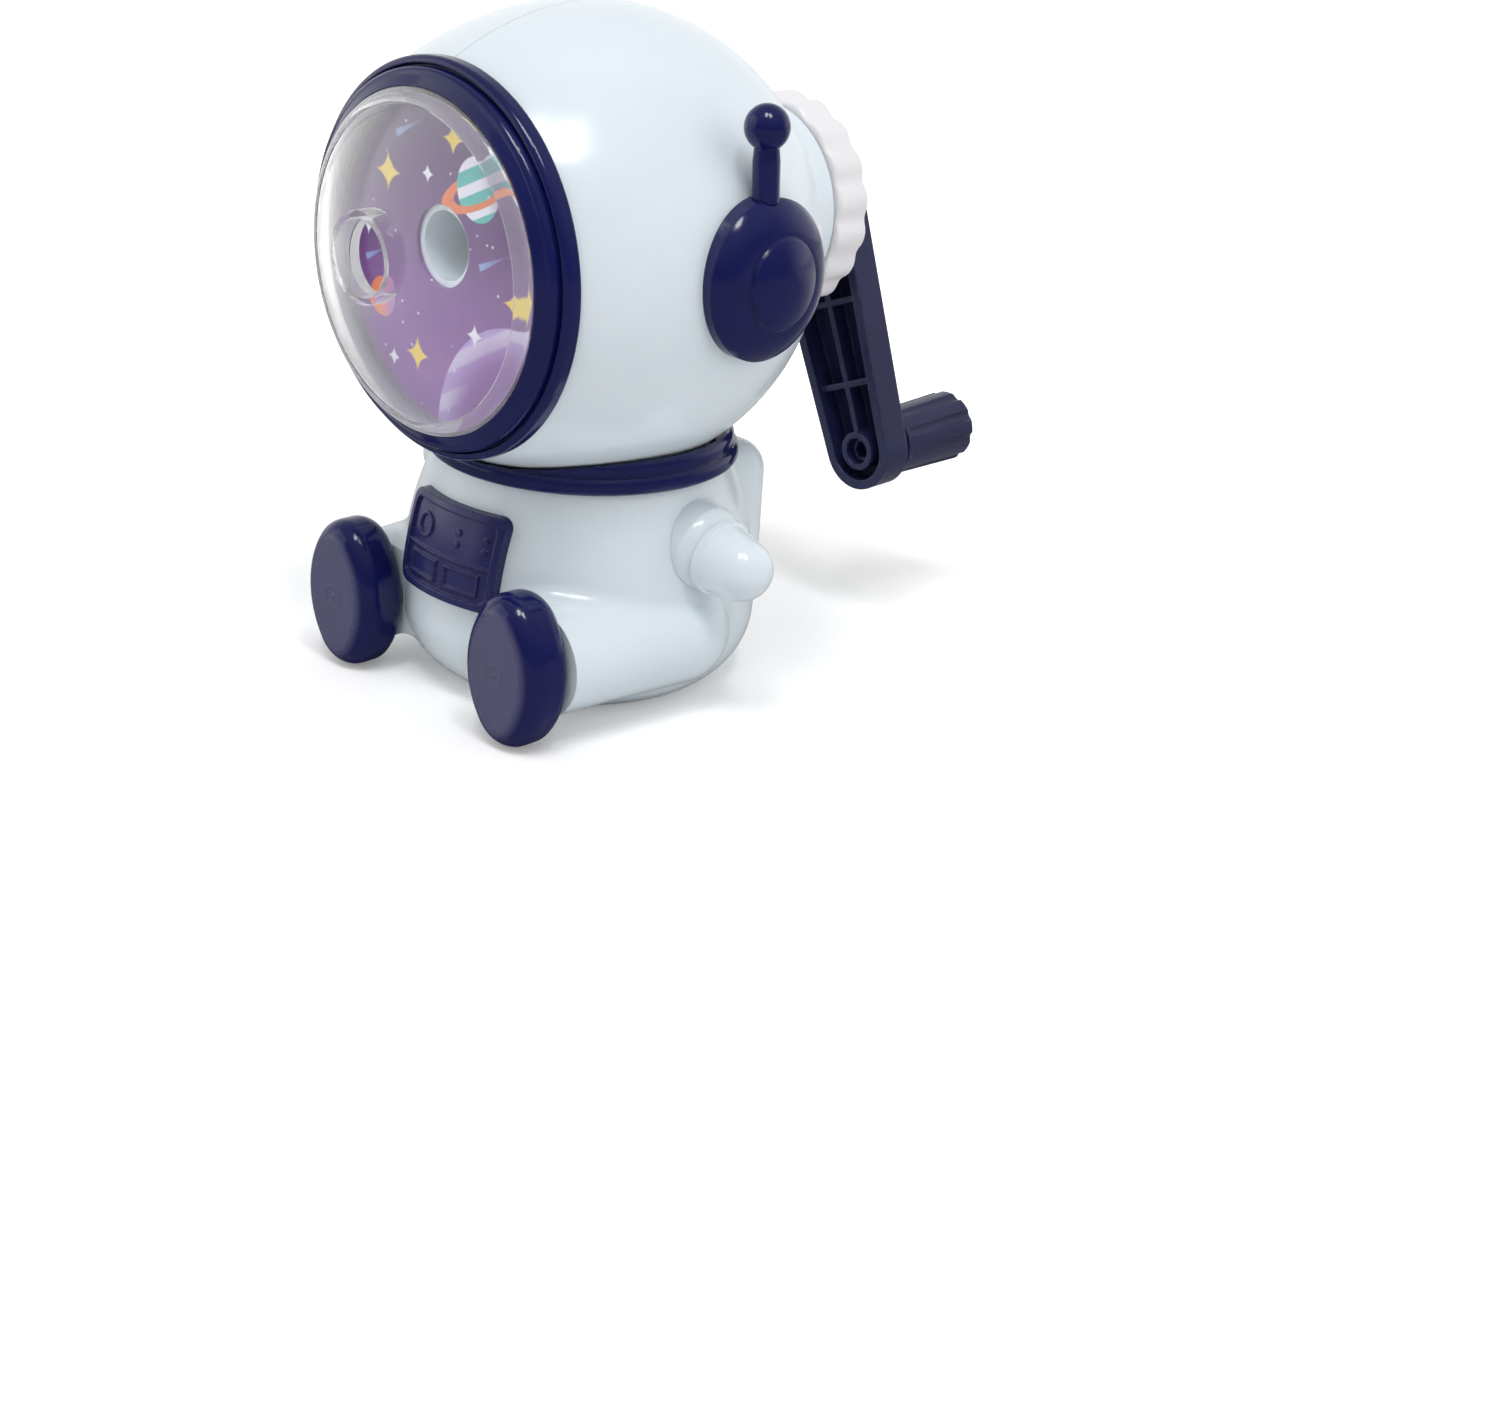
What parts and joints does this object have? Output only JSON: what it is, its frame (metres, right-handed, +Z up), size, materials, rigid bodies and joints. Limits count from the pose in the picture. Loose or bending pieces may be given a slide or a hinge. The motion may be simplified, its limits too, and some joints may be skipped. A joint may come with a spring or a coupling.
{
  "type": "crank pencil sharpener",
  "caption": "Hand-cranked helical pencil sharpener shaped as a sitting figure in a space suit; the head lifts off the torso, which is the shavings bin.",
  "frame": {"origin": "on the table, under the middle of the neck", "axes": "+Z up, the pencil goes in along +Y from the front, the crank is at +Y, the antenna at +X"},
  "size_m": [0.072, 0.1035, 0.092],
  "materials": {
    "mint_shell": "glossy pale mint moulding",
    "navy_trim": "glossy dark indigo moulding",
    "clear_visor": "clear polished moulding",
    "printed_card": "printed card",
    "white_ring": "glossy white moulding",
    "black_carrier": "satin black moulding",
    "gear_plastic": "natural acetal",
    "steel": "bright turned steel",
    "cutter_steel": "hardened cutter steel"
  },
  "bodies": {
    "body": {"torso_shell": "mint_shell", "base_plate": "mint_shell", "neck_collar": "navy_trim", "chest_panel": "navy_trim", "left_arm": "mint_shell", "right_arm": "mint_shell", "left_foot": "navy_trim", "right_foot": "navy_trim"},
    "head": {"helmet_left_shell": "mint_shell", "helmet_right_shell": "mint_shell", "visor_bezel": "navy_trim", "visor_dome": "clear_visor", "visor_card": "printed_card", "left_ear_muff": "navy_trim", "right_ear_muff": "navy_trim", "antenna": "navy_trim", "ring_gear": "gear_plastic"},
    "lock_ring_body": {"lock_ring": "white_ring"},
    "crank": {"crank_arm": "navy_trim", "drive_shaft": "steel", "crank_screw": "steel", "knob_pin": "steel", "cutter_carrier": "black_carrier", "cutter_axle": "steel"},
    "cutter": {"helical_cutter": "cutter_steel", "cutter_pinion": "gear_plastic"},
    "knob": {"crank_knob": "navy_trim"}
  },
  "joints": [
    {"name": "head_lift", "type": "slide", "parent": "body", "child": "head", "axis": [0, 0, 1], "range_m": [0, 0.06]},
    {"name": "lock_ring_turn", "type": "hinge", "parent": "head", "child": "lock_ring_body", "pos_m": [0, 0.033, 0.0627], "axis": [0, 1, 0], "range_deg": [0, 30]},
    {"name": "crank_turn", "type": "hinge", "parent": "head", "child": "crank", "pos_m": [0, 0.033, 0.0627], "axis": [0, 1, 0], "continuous": true},
    {"name": "cutter_spin", "type": "hinge", "parent": "crank", "child": "cutter", "pos_m": [0, 0.0065, 0.05759], "axis": [0, 0.9781, 0.2079], "continuous": true},
    {"name": "knob_spin", "type": "hinge", "parent": "crank", "child": "knob", "pos_m": [0.01442, 0.04287, 0.02701], "axis": [-0.0065, 0.9998, 0.0162], "continuous": true}
  ],
  "couplings": [
    {"joint": "cutter_spin", "follows": "crank_turn", "ratio": -2}
  ]
}
